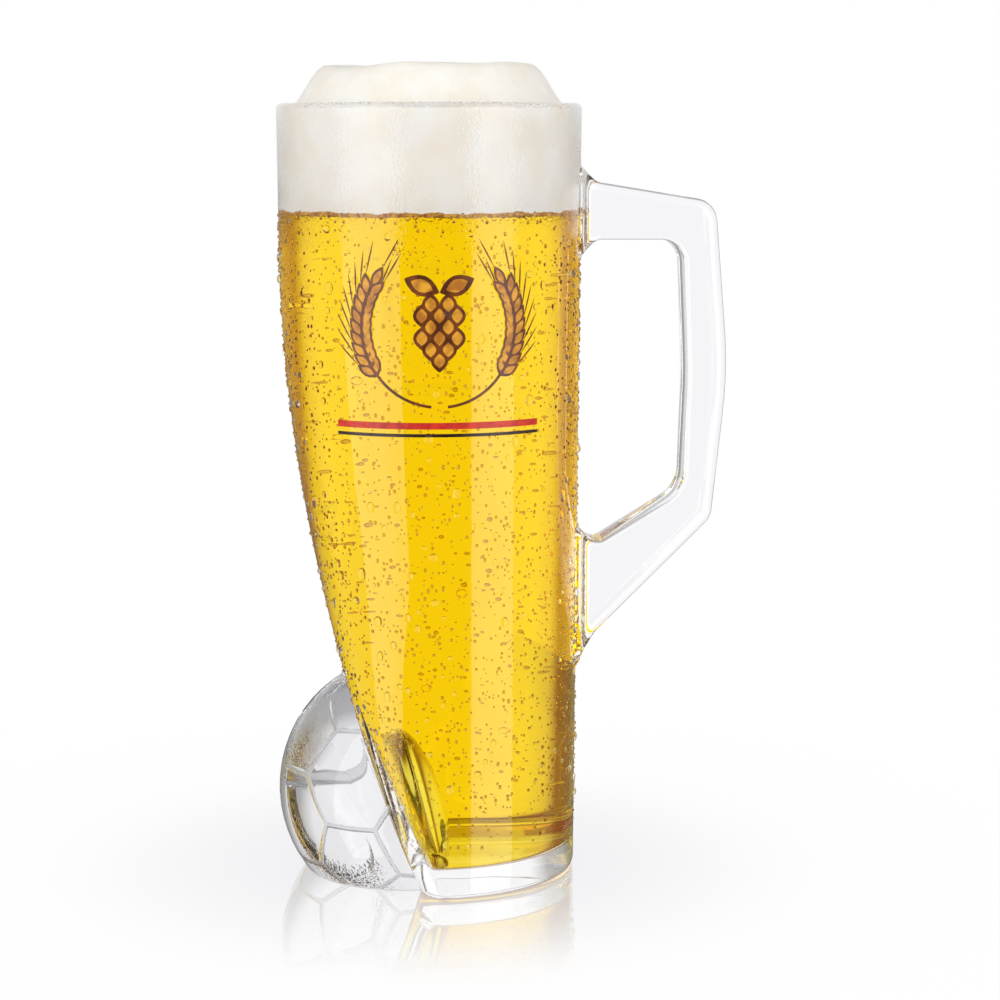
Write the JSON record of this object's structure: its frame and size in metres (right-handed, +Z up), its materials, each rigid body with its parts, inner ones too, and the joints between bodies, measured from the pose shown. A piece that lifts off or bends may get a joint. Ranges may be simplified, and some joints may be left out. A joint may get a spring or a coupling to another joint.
{
  "type": "beer mug",
  "caption": "Tall glass beer mug with a flat bar handle, whose leaning side carries half a glass football, filled with beer under a foam head.",
  "frame": {"origin": "on the axis of the mug's round wall, at the table that it stands on", "axes": "+Z up along the round wall's axis, +X towards the handle, -X towards the football"},
  "size_m": [0.1144, 0.0764, 0.2045],
  "materials": {
    "clear_glass": "polished",
    "ball_glass": "gloss",
    "handle_glass": "polished",
    "golden_beer": "gloss",
    "beer_foam": "matte"
  },
  "bodies": {
    "root": {"glass_body": "clear_glass", "football": "ball_glass", "handle": "handle_glass", "beer": "golden_beer", "foam_head": "beer_foam"}
  },
  "joints": []
}
